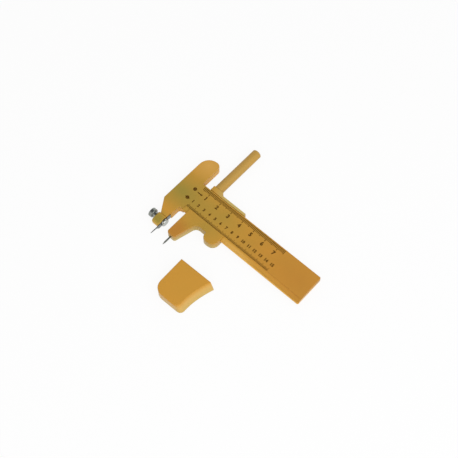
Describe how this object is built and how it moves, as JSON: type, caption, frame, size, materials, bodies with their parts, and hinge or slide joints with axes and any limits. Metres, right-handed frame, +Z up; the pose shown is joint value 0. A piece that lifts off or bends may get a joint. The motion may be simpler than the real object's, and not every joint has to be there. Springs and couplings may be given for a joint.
{
  "type": "compass circle cutter",
  "caption": "Flat plastic compass circle cutter: a beam with a printed scale and a clamped blade, a slider with needle, thumb rest and twirling handle, and a hollow safety cap lying beside it.",
  "frame": {"origin": "on the table under the zero of the scale: X = 0 is the blade's plane, Y = 0 is the middle line of the beam and Z = 0 is the underside of the head", "axes": "+X along the beam from the blade towards its free end, +Y along the needle's line towards the twirling handle, +Z up through the printed face"},
  "size_m": [0.1162, 0.1223, 0.0087],
  "materials": {
    "body_plastic": "moulded ochre plastic, satin, printed scale",
    "slider_plastic": "moulded ochre plastic, satin",
    "handle_plastic": "turned ochre plastic, satin",
    "cap_plastic": "moulded ochre plastic, satin",
    "nut_nickel": "nickel plated, straight knurled",
    "stud_nickel": "nickel plated, bright turned",
    "blade_steel": "ground",
    "needle_steel": "drawn and pointed",
    "spring_steel": "tempered strip"
  },
  "bodies": {
    "tool": {"beam": "body_plastic", "clamp_washer": "stud_nickel"},
    "carriage": {"slider": "slider_plastic", "handle_rod": "handle_plastic", "needle": "needle_steel", "gib_spring": "spring_steel"},
    "nut": {"clamp_nut": "nut_nickel"},
    "stud": {"blade_stud": "stud_nickel"},
    "cutter": {"blade": "blade_steel"},
    "cap": {"safety_cap": "cap_plastic"}
  },
  "joints": [
    {"name": "slider_slide", "type": "slide", "parent": "tool", "child": "carriage", "axis": [1, 0, 0], "range_m": [-0.0033, 0.0642]},
    {"name": "clamp_nut_turn", "type": "hinge", "parent": "tool", "child": "nut", "pos_m": [-0.0105, -0.026, 0.0034], "axis": [-1, 0, 0], "range_deg": [0, 540]},
    {"name": "blade_stud_slide", "type": "slide", "parent": "tool", "child": "stud", "axis": [1, 0, 0], "range_m": [0, 0.00075]},
    {"name": "blade_pull", "type": "slide", "parent": "tool", "child": "cutter", "axis": [0, -1, 0], "range_m": [0, 0.012]},
    {"name": "cap_slide", "type": "slide", "parent": "tool", "child": "cap", "axis": [0.0227, -0.9997, 0], "range_m": [0, 0.03]}
  ],
  "couplings": [
    {"joint": "clamp_nut_turn", "follows": "blade_stud_slide", "rad_per_m": 12566}
  ]
}
